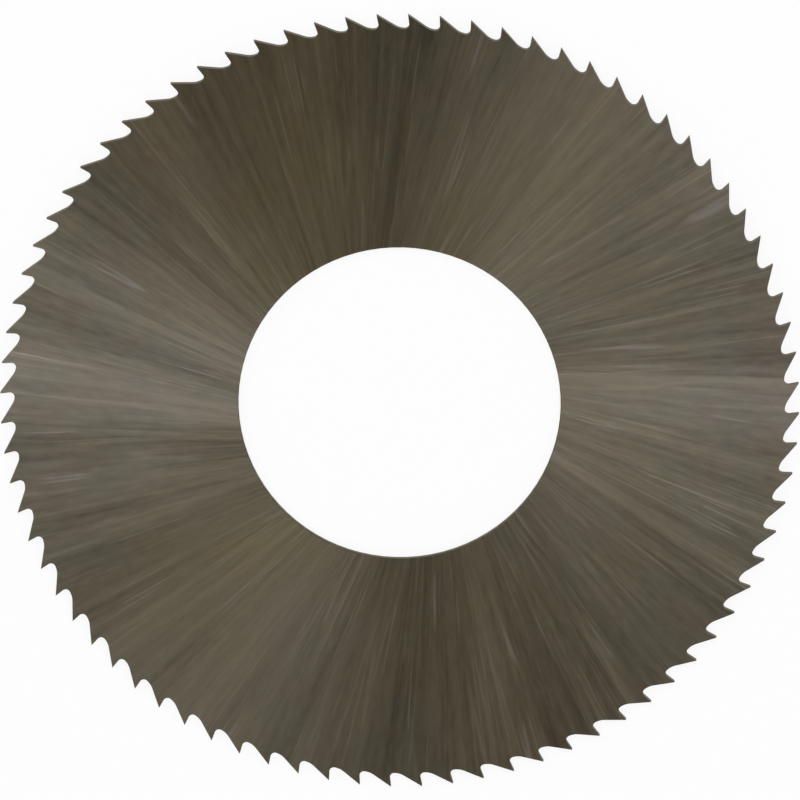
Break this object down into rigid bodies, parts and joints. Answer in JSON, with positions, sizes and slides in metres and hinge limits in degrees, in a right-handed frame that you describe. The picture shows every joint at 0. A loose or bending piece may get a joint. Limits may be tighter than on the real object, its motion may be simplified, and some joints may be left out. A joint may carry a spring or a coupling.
{
  "type": "slitting saw",
  "caption": "Thin round slitting saw with fine hooked teeth, radially ground sides and a plain arbor bore, for cutting narrow slots on a milling arbor.",
  "frame": {"origin": "on the saw's axis, in the plane of the side that it lies on", "axes": "+Z along the arbor bore's axis, up through the disc; +X through the tip of one tooth; the teeth point anticlockwise seen from +Z"},
  "size_m": [0.063, 0.063, 0.0006],
  "materials": {
    "ground_steel": "fine radial grinding marks, dark warm grey"
  },
  "bodies": {
    "root": {"saw_blade": "ground_steel"}
  },
  "joints": []
}
